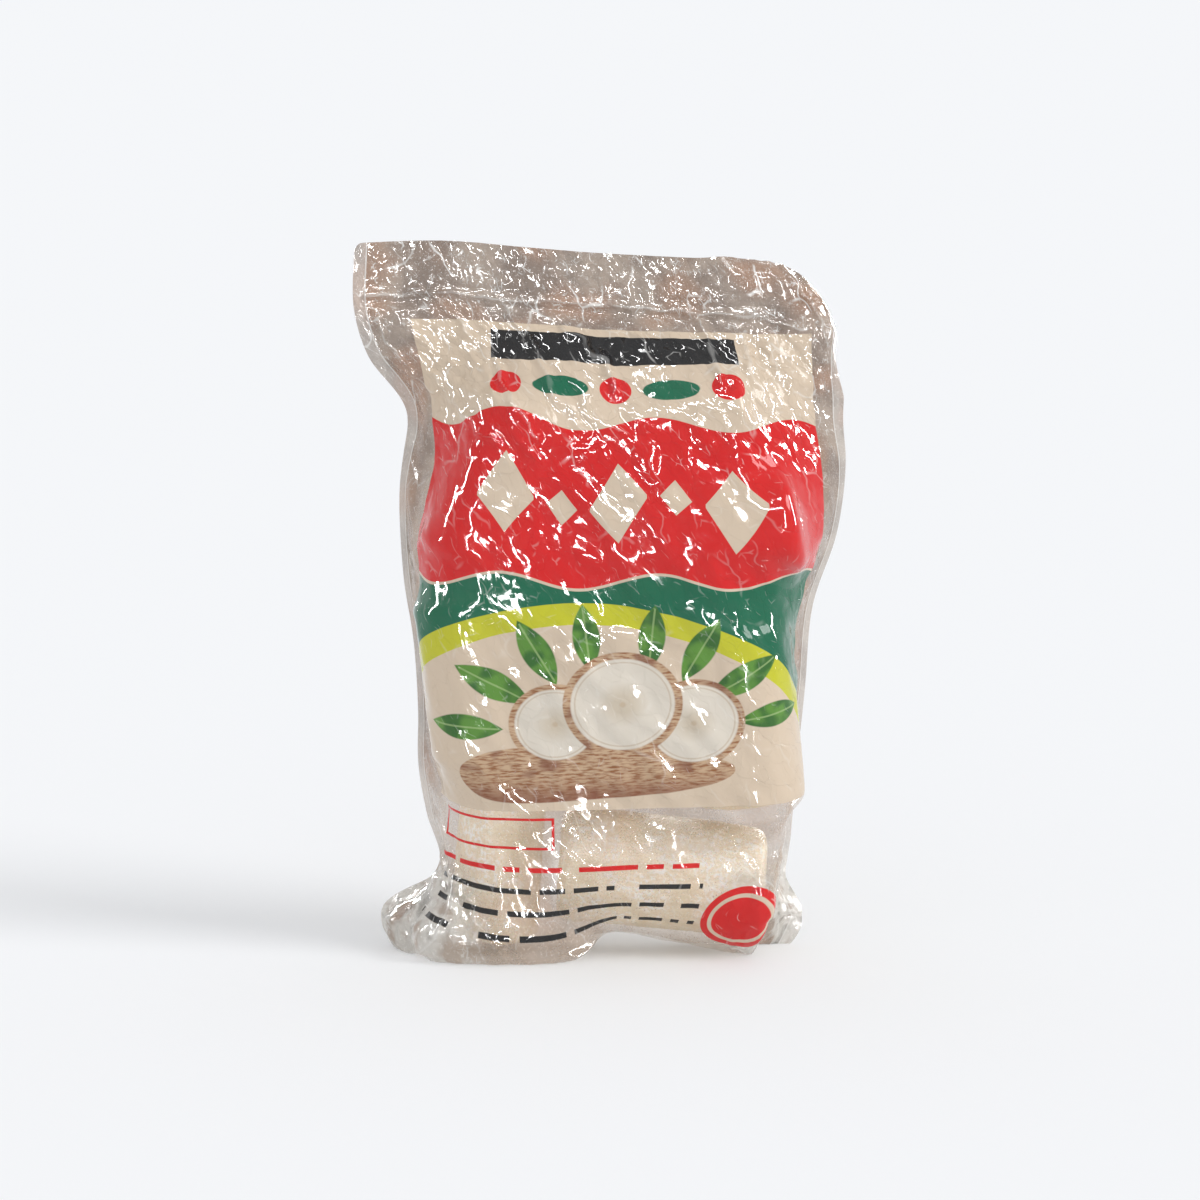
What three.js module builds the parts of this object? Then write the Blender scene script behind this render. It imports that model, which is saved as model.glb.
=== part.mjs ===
// A one kilogram bag of frozen cassava, standing upright.
// Two clear films are welded together along their edges and stretched over eight peeled pieces of root.
// Millimetres, +Z up. The printed film faces -Y, and the bag stands on z = 0.

import * as THREE from "three";
import { mergeVertices } from "three/addons/utils/BufferGeometryUtils.js";

// Film and welds
const FILM_THICKNESS = 0.8;
const FILM_GAP = 0.3;
const WELD_WIDTH = 6.5;
const TOP_BAND = 26;
const TOP_WAVE = 1.6;
const TOP_WAVE_TURN = 0.55;
const COLUMNS = 26;
const ROWS = 38;

// How the film settles over what it holds
const CLEARANCE = 1.6;
const SETTLE_STEPS = 600;
const SETTLE_PULL = 0.9;
const SLACK_PUSH = 0.035;

// Where the loose film starts, before it settles
const START_IN_FRONT = 60;
const START_BEHIND = 38;
const START_ROUNDNESS = 0.4;
const START_FLOOR_ROWS = 6;
const START_RISE_ROWS = 4;
const START_FALL_ROWS = 5;

// Film lower than the first height is pressed flat on the floor, and up to the second it leads into that
const FLAT_FOOT_HEIGHT = 3;
const FOOT_BLEND_HEIGHT = 12;

// The top right corner curls back round this line, seen from the front
const CURL_RADIUS = 7;
const CURL_FROM = new THREE.Vector2(60, 295.5);
const CURL_TO = new THREE.Vector2(104, 254.5);

const FILM_COLOUR = 0xb9b4ac;
const ROOT_COLOUR = 0xece6d6;

// Peeled pieces: centre, length, radius, turn about Y from lying along X, lean towards the front, in degrees
const ROOT_PIECES = [
  { name: "root_piece_1", centre: [26, -11, 34], length: 90, radius: 25, turn: -6, lean: 0 },
  { name: "root_piece_2", centre: [-42, -10, 41.5], length: 74, radius: 20.5, turn: 86, lean: 2 },
  { name: "root_piece_3", centre: [-51, -9, 118], length: 70, radius: 22.5, turn: 97, lean: -2 },
  { name: "root_piece_4", centre: [5, -11, 105], length: 82, radius: 23.5, turn: 84, lean: 3 },
  { name: "root_piece_5", centre: [57, -9, 101.5], length: 79, radius: 24, turn: 95, lean: -3 },
  { name: "root_piece_6", centre: [-42, -9, 201], length: 74, radius: 21.5, turn: 70, lean: 1 },
  { name: "root_piece_7", centre: [38, -10, 178], length: 88, radius: 22.5, turn: 12, lean: 2 },
  { name: "root_piece_8", centre: [30, -7, 225], length: 64, radius: 18, turn: 10, lean: -2 },
];
const PIECE_SIDES = 18;
const CUT_ROUNDING = 5;

// What peeling leaves of a piece, in shares of its radius and length, and how far pieces differ
const PEELED_RADIUS = 0.93;
const PEELED_LENGTH = 0.97;
const KNIFE_FLAT = 0.035;
const FEWEST_FLATS = 7;
const OVAL = 0.03;
const TAPER = 0.06;
const BARREL = 0.02;
const BEND = 2.5;
const CUT_SLANT = 0.1;

// Pockets of air that hold the film out at the two lower corners and along the front foot
const AIR_POCKETS = [
  { centre: [-74, -6, 11], radii: [15, 13, 9.5] },
  { centre: [-40, -26, 12], radii: [38, 14, 11.6] },
  { centre: [74, -18, 6.5], radii: [9, 13, 6] },
];

// The welded edges, from the top corners down to the lower corners
const LEFT_EDGE = [
  [-102, 299],
  [-102.5, 272],
  [-96.5, 251],
  [-84.5, 234.5],
  [-80.5, 225],
  [-81.5, 216],
  [-84.5, 192],
  [-83, 155],
  [-79, 128],
  [-77.2, 98],
  [-77.2, 74],
  [-73, 50],
  [-68, 35],
  [-72, 27],
  [-84, 22],
  [-92.5, 15.5],
  [-92.5, 9],
  [-86, 2],
];
const RIGHT_EDGE = [
  [104, 293],
  [105, 272],
  [103, 248],
  [102, 224],
  [103.5, 203],
  [100, 174],
  [90, 143],
  [87, 108],
  [83.5, 72],
  [81, 40],
  [79, 27],
  [84.5, 18],
  [86, 10],
  [80, 2],
];
const BOTTOM_EDGE = [
  [-86, 2],
  [-70, 0.6],
  [-30, 1],
  [8, 7],
  [45, 2],
  [62, 0.6],
  [80, 2],
];
const TOP_EDGE = [
  [-102, 299],
  [-62, 300],
  [-30, 297.5],
  [4, 294.5],
  [60, 292.5],
  [104, 293],
];

// The full part of the bag, between its foot and its flat top
const fullness = (z) =>
  THREE.MathUtils.smoothstep(z, 5, 44) * (1 - THREE.MathUtils.smoothstep(z, 190, 270));

// Where the bag is full its welded edges stand well back and their weld strips fold backwards
const EDGE_SET_BACK = 19;
const WELD_FOLD = THREE.MathUtils.degToRad(60);
const edgeY = (z) => EDGE_SET_BACK * fullness(z);
const weldFold = (z) => WELD_FOLD * fullness(z);
const partingY = (z) => edgeY(z) - WELD_WIDTH * Math.sin(weldFold(z));

const smooth = (points) =>
  new THREE.CatmullRomCurve3(
    points.map(([x, z]) => new THREE.Vector3(x, edgeY(z), z)),
    false,
    "centripetal",
  );
const leftCurve = smooth(LEFT_EDGE);
const rightCurve = smooth(RIGHT_EDGE);
const bottomCurve = smooth(BOTTOM_EDGE);
const topCurve = smooth(TOP_EDGE);

// A repeatable draw between 0 and 1
function drawFrom(seed) {
  let state = seed;
  return () => {
    state = (state * 16807) % 2147483647;
    return state / 2147483647;
  };
}

// How a peeled piece is turned from its own upright axis into the bag
function pieceRotation({ turn, lean }) {
  const inPlane = new THREE.Matrix4().makeRotationY(THREE.MathUtils.degToRad(90 - turn));
  const forward = new THREE.Matrix4().makeRotationX(THREE.MathUtils.degToRad(lean));
  return forward.multiply(inPlane);
}

// One peeled piece of root: a cut length with knife flats down its sides, a slight bend and flat cut ends
function rootPiece(piece, index) {
  const draw = drawFrom(7919 * (index + 3));
  const { radius, length } = piece;
  const half = length / 2;
  const corner = CUT_ROUNDING * (1 - Math.SQRT1_2);
  const upperHalf = [
    [radius, half * 0.4],
    [radius, half - CUT_ROUNDING],
    [radius - corner, half - corner],
    [radius - CUT_ROUNDING, half],
    [0, half],
  ];
  const lowerHalf = upperHalf.map(([across, along]) => [across, -along]).reverse();
  const profile = [...lowerHalf, [radius, 0], ...upperHalf].map((p) => new THREE.Vector2(...p));
  const lathe = new THREE.LatheGeometry(profile, PIECE_SIDES);
  lathe.deleteAttribute("normal");
  lathe.deleteAttribute("uv");
  const geometry = mergeVertices(lathe, 1e-3);
  const flats = FEWEST_FLATS + Math.floor(draw() * 3);
  const flatPhase = draw() * Math.PI;
  const ovalPhase = draw() * Math.PI;
  const taper = (draw() - 0.5) * TAPER;
  const bend = (draw() - 0.5) * BEND;
  const slants = [(draw() - 0.5) * CUT_SLANT, (draw() - 0.5) * CUT_SLANT];
  const place = geometry.attributes.position;
  for (let i = 0; i < place.count; i++) {
    const x = place.getX(i);
    const along = place.getY(i);
    const z = place.getZ(i);
    const angle = Math.atan2(z, x);
    const share = along / half;
    const flat = KNIFE_FLAT * Math.abs(Math.sin((flats * (angle + flatPhase)) / 2 + 0.6 * share));
    const oval = OVAL * Math.cos(2 * (angle + ovalPhase));
    const size = PEELED_RADIUS + flat + oval + taper * share - BARREL * share * share;
    const slant = slants[share > 0 ? 1 : 0] * x * Math.abs(share) ** 4;
    place.setXYZ(i, x * size + bend * (share * share - 0.5), along * PEELED_LENGTH + slant, z * size);
  }
  // A lathe turns about Y, and the piece's own axis is Z
  geometry.rotateX(Math.PI / 2);
  const mesh = new THREE.Mesh(
    geometry,
    new THREE.MeshStandardMaterial({ color: ROOT_COLOUR, roughness: 0.6, metalness: 0 }),
  );
  mesh.name = piece.name;
  mesh.position.set(...piece.centre);
  mesh.quaternion.setFromRotationMatrix(pieceRotation(piece));
  return mesh;
}

// What the film rests on: each answers how far a point is outside it, and which way out is
function cylinderSupport(piece) {
  const centre = new THREE.Vector3(...piece.centre);
  const axis = new THREE.Vector3(0, 0, 1).applyMatrix4(pieceRotation(piece));
  const coreRadius = piece.radius - CUT_ROUNDING;
  const coreHalf = piece.length / 2 - CUT_ROUNDING;
  return (point) => {
    const offset = point.clone().sub(centre);
    const along = offset.dot(axis);
    const radial = offset.addScaledVector(axis, -along);
    const distance = radial.length() || 1e-6;
    const pastSide = distance - coreRadius;
    const pastEnd = Math.abs(along) - coreHalf;
    const within = Math.min(Math.max(pastSide, pastEnd), 0);
    const sideShare = within < 0 ? Number(pastSide > pastEnd) : Math.max(pastSide, 0);
    const endShare = within < 0 ? Number(pastEnd >= pastSide) : Math.max(pastEnd, 0);
    const outside = within < 0 ? 0 : Math.hypot(sideShare, endShare);
    const out = radial
      .multiplyScalar(sideShare / distance)
      .addScaledVector(axis, endShare * Math.sign(along))
      .normalize();
    return { away: outside + within - CUT_ROUNDING, out };
  };
}

function pocketSupport({ centre, radii }) {
  const middle = new THREE.Vector3(...centre);
  const size = new THREE.Vector3(...radii);
  return (point) => {
    const scaled = point.clone().sub(middle).divide(size);
    const slope = scaled.clone().divide(size);
    const reach = scaled.length() || 1e-6;
    return { away: (reach * (reach - 1)) / (slope.length() || 1e-6), out: slope.normalize() };
  };
}

const supports = [...ROOT_PIECES.map(cylinderSupport), ...AIR_POCKETS.map(pocketSupport)];

// A welded edge at one height: its outer point, the way into the bag and the way out of the strip's front
function weldAt(curve, share, side) {
  const edge = curve.getPointAt(share);
  const along = curve.getTangentAt(share);
  const fold = weldFold(edge.z);
  const inward = new THREE.Vector3(-along.z * side, 0, along.x * side).normalize();
  inward.multiplyScalar(Math.cos(fold)).add(new THREE.Vector3(0, -Math.sin(fold), 0));
  const front = inward.clone().cross(along).normalize();
  front.multiplyScalar(-Math.sign(front.y));
  return { edge, inward, front };
}

// The film's grid of points, from the bottom weld in row 0 to the top edge. face is -1 in front and 1 behind
function settledFilm(face) {
  const apart = (FILM_THICKNESS + FILM_GAP) / 2;
  const edgeLength = leftCurve.getLength();
  const bandRow = ROWS - Math.round((TOP_BAND / edgeLength) * ROWS);
  const startDepth = face < 0 ? START_IN_FRONT : START_BEHIND;
  const grid = [];
  const held = [];
  for (let row = 0; row <= ROWS; row++) {
    const left = weldAt(leftCurve, 1 - row / ROWS, 1);
    const right = weldAt(rightCurve, 1 - row / ROWS, -1);
    for (const { edge, front } of [left, right]) edge.addScaledVector(front, -face * apart);
    const leftWeld = left.edge.clone().addScaledVector(left.inward, WELD_WIDTH);
    const rightWeld = right.edge.clone().addScaledVector(right.inward, WELD_WIDTH);
    grid.push([]);
    held.push([]);
    for (let column = 0; column <= COLUMNS; column++) {
      const across = (column - 1) / (COLUMNS - 2);
      const inBand = row >= bandRow;
      let point = leftWeld.clone().lerp(rightWeld, across);
      if (column === 0) point = left.edge;
      if (column === COLUMNS) point = right.edge;
      if (inBand) {
        const down = ((ROWS - row) / ROWS) * edgeLength;
        if (column > 0 && column < COLUMNS) point.z = topCurve.getPointAt(column / COLUMNS).z - down;
        point.y = TOP_WAVE * Math.sin(column * TOP_WAVE_TURN) + face * apart;
      }
      if (row === 0) {
        point = bottomCurve.getPointAt(column / COLUMNS);
        point.y += face * apart;
      }
      const isHeld = row === 0 || inBand || column <= 1 || column >= COLUMNS - 1;
      if (!isHeld) {
        // It starts clear of what it holds: out along the floor, then up past the pieces
        const spread = Math.sin(Math.PI * across) ** START_ROUNDNESS;
        const rise = Math.min(1, row / START_RISE_ROWS, (bandRow - row) / START_FALL_ROWS);
        point.y += face * startDepth * spread * rise;
        point.z *= 1 - spread * Math.max(0, 1 - row / START_FLOOR_ROWS);
      }
      grid[row].push(point);
      held[row].push(isHeld);
    }
  }
  settle(grid, held, face, apart);
  return grid;
}

// How far a point must move to stand clear of every support
function pushClear(point) {
  const push = new THREE.Vector3();
  for (const support of supports) {
    const { away, out } = support(point);
    if (away < CLEARANCE) push.addScaledVector(out, CLEARANCE - away);
  }
  return push;
}

// Pulls the free points of the film tight between its welds and over the supports
function settle(grid, held, face, apart) {
  const keepIn = (point) => {
    point.z = Math.max(point.z, FILM_THICKNESS / 2);
    const parting = partingY(point.z) + face * 2 * apart;
    point.y = face < 0 ? Math.min(point.y, parting) : Math.max(point.y, parting);
  };
  for (let step = 0; step < SETTLE_STEPS; step++) {
    for (let row = 1; row < ROWS; row++) {
      for (let column = 1; column < COLUMNS; column++) {
        if (held[row][column]) continue;
        const point = grid[row][column];
        const mean = grid[row - 1][column]
          .clone()
          .add(grid[row + 1][column])
          .add(grid[row][column - 1])
          .add(grid[row][column + 1])
          .multiplyScalar(0.25);
        point.lerp(mean, SETTLE_PULL);
        point.y += face * SLACK_PUSH;
        point.add(pushClear(point));
        keepIn(point);
      }
    }
    // The middle of each cell stands clear too, so that a flat facet cuts no corner
    for (let row = 0; row < ROWS; row++) {
      for (let column = 0; column < COLUMNS; column++) {
        const cell = [
          [row, column],
          [row, column + 1],
          [row + 1, column + 1],
          [row + 1, column],
        ];
        const middle = new THREE.Vector3();
        for (const [r, c] of cell) middle.addScaledVector(grid[r][c], 0.25);
        const push = pushClear(middle);
        if (push.lengthSq() === 0) continue;
        for (const [r, c] of cell) {
          if (held[r][c]) continue;
          grid[r][c].add(push);
          keepIn(grid[r][c]);
        }
      }
    }
  }
}

// The weight presses the lowest part of the film flat
function pressFoot(point) {
  const lowest = FILM_THICKNESS / 2;
  if (point.z >= FOOT_BLEND_HEIGHT) return;
  const lifted = Math.max(0, point.z - FLAT_FOOT_HEIGHT) / (FOOT_BLEND_HEIGHT - FLAT_FOOT_HEIGHT);
  point.z = lowest + (FOOT_BLEND_HEIGHT - lowest) * lifted;
}

// Rolls the top right corner back round the curl line
function curlCorner(point) {
  const line = CURL_TO.clone().sub(CURL_FROM).normalize();
  const outward = new THREE.Vector2(-line.y, line.x);
  const beyond = (point.x - CURL_FROM.x) * outward.x + (point.z - CURL_FROM.y) * outward.y;
  if (beyond <= 0) return;
  const radius = CURL_RADIUS - point.y;
  const turn = Math.min(beyond / CURL_RADIUS, Math.PI);
  const straight = Math.max(0, beyond - Math.PI * CURL_RADIUS);
  const reach = radius * Math.sin(turn) - straight - beyond;
  point.x += outward.x * reach;
  point.z += outward.y * reach;
  point.y = CURL_RADIUS - radius * Math.cos(turn);
}

function gridNormal(grid, row, column) {
  const up = grid[Math.min(row + 1, ROWS)][column].clone().sub(grid[Math.max(row - 1, 0)][column]);
  const across = grid[row][Math.min(column + 1, COLUMNS)]
    .clone()
    .sub(grid[row][Math.max(column - 1, 0)]);
  return across.cross(up).normalize();
}

// Gives the settled film its thickness and closes it all round
function film(name, face) {
  const grid = settledFilm(face);
  grid.flat().forEach(pressFoot);
  grid.flat().forEach(curlCorner);
  const positions = [];
  const perSide = (ROWS + 1) * (COLUMNS + 1);
  const at = (side, row, column) => side * perSide + row * (COLUMNS + 1) + column;
  for (const side of [0.5, -0.5]) {
    for (let row = 0; row <= ROWS; row++) {
      for (let column = 0; column <= COLUMNS; column++) {
        const point = grid[row][column]
          .clone()
          .addScaledVector(gridNormal(grid, row, column), side * FILM_THICKNESS);
        point.z = Math.max(point.z, 0);
        positions.push(point.x, point.y, point.z);
      }
    }
  }
  const faces = [];
  const quad = (a, b, c, d) => faces.push(a, b, c, a, c, d);
  for (let row = 0; row < ROWS; row++) {
    for (let column = 0; column < COLUMNS; column++) {
      quad(at(0, row, column), at(0, row, column + 1), at(0, row + 1, column + 1), at(0, row + 1, column));
      quad(at(1, row, column), at(1, row + 1, column), at(1, row + 1, column + 1), at(1, row, column + 1));
    }
  }
  for (let column = 0; column < COLUMNS; column++) {
    quad(at(1, 0, column), at(1, 0, column + 1), at(0, 0, column + 1), at(0, 0, column));
    quad(at(0, ROWS, column), at(0, ROWS, column + 1), at(1, ROWS, column + 1), at(1, ROWS, column));
  }
  for (let row = 0; row < ROWS; row++) {
    quad(at(0, row, 0), at(0, row + 1, 0), at(1, row + 1, 0), at(1, row, 0));
    quad(at(1, row, COLUMNS), at(1, row + 1, COLUMNS), at(0, row + 1, COLUMNS), at(0, row, COLUMNS));
  }
  const geometry = new THREE.BufferGeometry();
  geometry.setAttribute("position", new THREE.Float32BufferAttribute(positions, 3));
  geometry.setIndex(faces);
  const mesh = new THREE.Mesh(
    geometry,
    new THREE.MeshStandardMaterial({ color: FILM_COLOUR, roughness: 0.2, metalness: 0 }),
  );
  mesh.name = name;
  return mesh;
}

const bag = new THREE.Group();
bag.add(film("front_film", -1), film("back_film", 1), ...ROOT_PIECES.map(rootPiece));

// The origin is the middle of the whole bag's foot
const middle = new THREE.Box3().setFromObject(bag).getCenter(new THREE.Vector3());
for (const mesh of bag.children) mesh.position.sub(new THREE.Vector3(middle.x, middle.y, 0));

export default bag;
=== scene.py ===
"""A clear film bag of frozen, peeled cassava pieces, standing upright, made around its solid model."""

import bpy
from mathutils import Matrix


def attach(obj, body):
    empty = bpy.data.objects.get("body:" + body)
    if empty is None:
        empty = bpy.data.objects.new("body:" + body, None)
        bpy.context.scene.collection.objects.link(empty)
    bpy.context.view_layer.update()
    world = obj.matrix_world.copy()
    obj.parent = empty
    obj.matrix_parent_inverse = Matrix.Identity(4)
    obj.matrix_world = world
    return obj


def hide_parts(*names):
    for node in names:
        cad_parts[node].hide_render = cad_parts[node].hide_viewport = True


bl_info = {
    "name": "Bag of Frozen Cassava",
    "version": (1, 0, 0),
    "blender": (4, 5, 0),
    "location": "3D View > Sidebar > Cassava Bag",
    "description": "Makes a crinkled film bag over cut, peeled pieces of cassava root",
    "category": "Object",
}

import math

import bpy
import numpy as np
from bpy.props import FloatProperty, FloatVectorProperty, IntProperty, PointerProperty
from mathutils import Vector

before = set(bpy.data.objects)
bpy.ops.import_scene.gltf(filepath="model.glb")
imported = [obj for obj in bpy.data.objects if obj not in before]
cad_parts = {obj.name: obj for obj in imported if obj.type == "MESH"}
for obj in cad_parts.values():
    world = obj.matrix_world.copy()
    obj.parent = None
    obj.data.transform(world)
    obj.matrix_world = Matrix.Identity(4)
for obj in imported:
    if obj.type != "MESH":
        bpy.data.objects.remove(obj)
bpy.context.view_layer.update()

MM = 0.001
ROOT_NODES = sorted(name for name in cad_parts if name.startswith("root_piece"))

# The welded edges as (x, z) in metres, from the top corners down, before the bag is centred on its box
LEFT_EDGE = [
    (-0.102, 0.299), (-0.1025, 0.272), (-0.0965, 0.251), (-0.0845, 0.2345), (-0.0805, 0.225),
    (-0.0815, 0.216), (-0.0845, 0.192), (-0.083, 0.155), (-0.079, 0.128), (-0.0772, 0.098),
    (-0.0772, 0.074), (-0.073, 0.050), (-0.068, 0.035), (-0.072, 0.027), (-0.084, 0.022),
    (-0.0925, 0.0155), (-0.0925, 0.009), (-0.086, 0.002),
]
RIGHT_EDGE = [
    (0.104, 0.293), (0.105, 0.272), (0.103, 0.248), (0.102, 0.224), (0.1035, 0.203),
    (0.100, 0.174), (0.090, 0.143), (0.087, 0.108), (0.0835, 0.072), (0.081, 0.040),
    (0.079, 0.027), (0.0845, 0.018), (0.086, 0.010), (0.080, 0.002),
]
BOTTOM_EDGE = [
    (-0.086, 0.002), (-0.070, 0.0006), (-0.030, 0.001), (0.008, 0.007),
    (0.045, 0.002), (0.062, 0.0006), (0.080, 0.002),
]
TOP_EDGE = [
    (-0.102, 0.299), (-0.062, 0.300), (-0.030, 0.2975), (0.004, 0.2945), (0.060, 0.2925), (0.104, 0.293),
]
CENTRING = np.array([-0.0006, 0.0107, 0.0])

# Pockets of air that hold the film out round the foot: centre and half sizes
AIR_POCKETS = [
    ((-0.074, -0.006, 0.011), (0.015, 0.013, 0.0095)),
    ((-0.040, -0.026, 0.012), (0.038, 0.014, 0.0116)),
    ((0.074, -0.018, 0.0065), (0.009, 0.013, 0.006)),
]

# Long creases in the front web as (x, z) in metres, before the bag is centred
FRONT_FOLDS = [
    [(-0.0966, 0.2778), (-0.067, 0.2783), (-0.031, 0.2748), (-0.005, 0.2736), (0.030, 0.2706),
     (0.058, 0.2697), (0.086, 0.263)],
    [(-0.0756, 0.280), (-0.0634, 0.2714), (-0.0508, 0.260), (-0.0424, 0.248), (-0.031, 0.229),
     (-0.0256, 0.222)],
    [(-0.041, 0.274), (-0.031, 0.263), (-0.0256, 0.252), (-0.0185, 0.240), (-0.0063, 0.2235)],
    [(-0.0147, 0.2645), (-0.0063, 0.257), (0.0021, 0.250), (0.0063, 0.240)],
    [(-0.0924, 0.263), (-0.0857, 0.2535), (-0.0756, 0.2436), (-0.0689, 0.2376)],
    [(-0.0689, 0.2446), (-0.055, 0.2285), (-0.0424, 0.2205)],
    [(0.076, 0.2898), (0.0857, 0.277), (0.0928, 0.2657), (0.0949, 0.2554)],
    [(0.041, 0.268), (0.047, 0.255), (0.050, 0.243)],
    [(0.060, 0.262), (0.063, 0.246), (0.069, 0.232)],
    [(-0.0634, 0.036), (-0.073, 0.0235), (-0.0815, 0.014), (-0.090, 0.0128)],
    [(-0.0605, 0.0355), (-0.0634, 0.023), (-0.070, 0.0105), (-0.0815, 0.002)],
    [(-0.0674, 0.031), (-0.0773, 0.0255), (-0.088, 0.0195)],
    [(-0.0575, 0.032), (-0.0508, 0.0175), (-0.0395, 0.006)],
    [(0.074, 0.034), (0.0785, 0.0225), (0.079, 0.004)],
    [(0.070, 0.052), (0.0745, 0.040), (0.0715, 0.020)],
    [(-0.072, 0.072), (-0.066, 0.060), (-0.064, 0.044)],
]

# The film's first, coarse net, and the passes that settle it at each of three finenesses
COLUMNS = 26
ROWS = 38
SETTLE_STEPS = (420, 70, 70)
SETTLE_PULL = 0.9
SLACK_PUSH = 0.035 * MM
START_IN_FRONT = 60 * MM
START_BEHIND = 38 * MM
FLOOR_GAP = 0.3 * MM
CUT_ROUNDING = 5 * MM

# The heights between which the bag fills up over its foot, and narrows to its flat top
FILLS = (0.005, 0.044)
NARROWS = (0.190, 0.270)

# The welds: where they run, how far they turn forward, and the flat top's gentle wave
WELD_GAP = 0.12 * MM
EDGE_SET_BACK = 19 * MM
WELD_FOLD = math.radians(60)
WELD_FOLD_DEPTH = 6.5 * MM
WEB_GAP = 1.1 * MM
TOP_WAVE = 1.6 * MM
TOP_WAVE_TURN = 0.55

# The film below FOOT_TOP is pressed down until what was below FOOT_LOW lies on the floor
FOOT_TOP = 12 * MM
FOOT_LOW = 3 * MM
FOOT_FILM = 0.4 * MM

# The two top corners
CORNER_ROUNDING = 4 * MM
CURL_RADIUS = 7 * MM
CURL_CENTRE = np.array([0.066, 0.256])
CURL_REACH = 27 * MM
CURL_FADE = np.array([30, 24]) * MM

# Creases run steeply down to the right, seen from the front
CREASE_ANGLE = math.radians(-62)
FIRST_FOLD = 0.9 * MM
FOLD_WIDTH = 1.4 * MM
FOLD_WAVER = 1.6 * MM
RIPPLE_HEIGHT = 0.2735
RIPPLE_DEPTH = 1.1 * MM
MOST_MOVED = 6 * MM

# Cells after which the seeded patterns repeat
NOISE_CELLS = 97
FACET_CELLS = 89


def smoothstep(value, low, high):
    share = np.clip((value - low) / (high - low), 0, 1)
    return share * share * (3 - 2 * share)


def unit(vectors):
    return vectors / (np.linalg.norm(vectors, axis=-1, keepdims=True) + 1e-12)


# Seeded patterns over a plane

def gradient_noise(u, v, seed):
    """Smooth noise of about -1 to 1."""
    angles = np.random.default_rng(seed).uniform(0, 2 * math.pi, (NOISE_CELLS, NOISE_CELLS))
    cell_u, cell_v = np.floor(u).astype(int), np.floor(v).astype(int)
    du, dv = u - cell_u, v - cell_v

    def corner(i, j):
        angle = angles[(cell_u + i) % NOISE_CELLS, (cell_v + j) % NOISE_CELLS]
        return np.cos(angle) * (du - i) + np.sin(angle) * (dv - j)

    fade_u, fade_v = (d * d * d * (d * (d * 6 - 15) + 10) for d in (du, dv))
    low = corner(0, 0) * (1 - fade_u) + corner(1, 0) * fade_u
    high = corner(0, 1) * (1 - fade_u) + corner(1, 1) * fade_u
    return 1.5 * (low * (1 - fade_v) + high * fade_v)


def facets(u, v, seed):
    """A net of flat-sided cells: 0 on their borders and up to about 1 at their middles."""
    jitter = np.random.default_rng(seed).uniform(0, 1, (2, FACET_CELLS, FACET_CELLS))
    cell_u, cell_v = np.floor(u).astype(int), np.floor(v).astype(int)
    nearest = np.full(u.shape, np.inf)
    second = np.full(u.shape, np.inf)
    for i in (-1, 0, 1):
        for j in (-1, 0, 1):
            a, b = cell_u + i, cell_v + j
            shift_u, shift_v = jitter[:, a % FACET_CELLS, b % FACET_CELLS]
            reach = np.hypot(a + shift_u - u, b + shift_v - v)
            second = np.minimum(second, np.maximum(nearest, reach))
            nearest = np.minimum(nearest, reach)
    return second - nearest


def along_creases(flat):
    """Flat film coordinates in millimetres, turned so that the first runs along the creases."""
    cos, sin = math.cos(CREASE_ANGLE), math.sin(CREASE_ANGLE)
    return flat[..., 0] * cos + flat[..., 1] * sin, -flat[..., 0] * sin + flat[..., 1] * cos


def distance_to(folds, x, z):
    """How far points are from the nearest of some broken lines."""
    nearest = np.full(x.shape, np.inf)
    for fold in folds:
        for start, end in zip(np.array(fold), np.array(fold[1:])):
            way = end - start
            share = np.clip(((x - start[0]) * way[0] + (z - start[1]) * way[1]) / (way @ way), 0, 1)
            reach = np.hypot(x - start[0] - share * way[0], z - start[1] - share * way[1])
            nearest = np.minimum(nearest, reach)
    return nearest


# The bag's welds, and what its film lies on

def fullness(z):
    """1 where the bag is full, falling to 0 at its foot and its flat top."""
    return smoothstep(z, *FILLS) * (1 - smoothstep(z, *NARROWS))


def smooth_curve(points, shares):
    """Places and directions at these shares of a smooth curve through (x, z) points, and its length."""
    knots = np.array([(x, EDGE_SET_BACK * fullness(z), z) for x, z in points])
    knots = np.vstack([2 * knots[0] - knots[1], knots, 2 * knots[-1] - knots[-2]])
    samples = []
    for i in range(1, len(knots) - 2):
        before, start, end, after = knots[i - 1 : i + 3]
        gaps = [math.sqrt(np.linalg.norm(b - a)) for a, b in ((before, start), (start, end), (end, after))]
        leave = gaps[1] * (
            (start - before) / gaps[0] - (end - before) / (gaps[0] + gaps[1]) + (end - start) / gaps[1]
        )
        arrive = gaps[1] * (
            (end - start) / gaps[1] - (after - start) / (gaps[1] + gaps[2]) + (after - end) / gaps[2]
        )
        t = np.linspace(0, 1, 40, endpoint=i == len(knots) - 3)[:, None]
        samples.append(
            (2 * t**3 - 3 * t**2 + 1) * start + (t**3 - 2 * t**2 + t) * leave
            + (3 * t**2 - 2 * t**3) * end + (t**3 - t**2) * arrive
        )
    line = np.vstack(samples)
    length = np.concatenate([[0], np.cumsum(np.linalg.norm(np.diff(line, axis=0), axis=1))])
    reach = np.asarray(shares) * length[-1]
    places = np.stack([np.interp(reach, length, line[:, k]) for k in range(3)], axis=-1)
    slopes = np.gradient(line, length, axis=0)
    directions = unit(np.stack([np.interp(reach, length, slopes[:, k]) for k in range(3)], axis=-1))
    return places, directions, length[-1]


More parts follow.
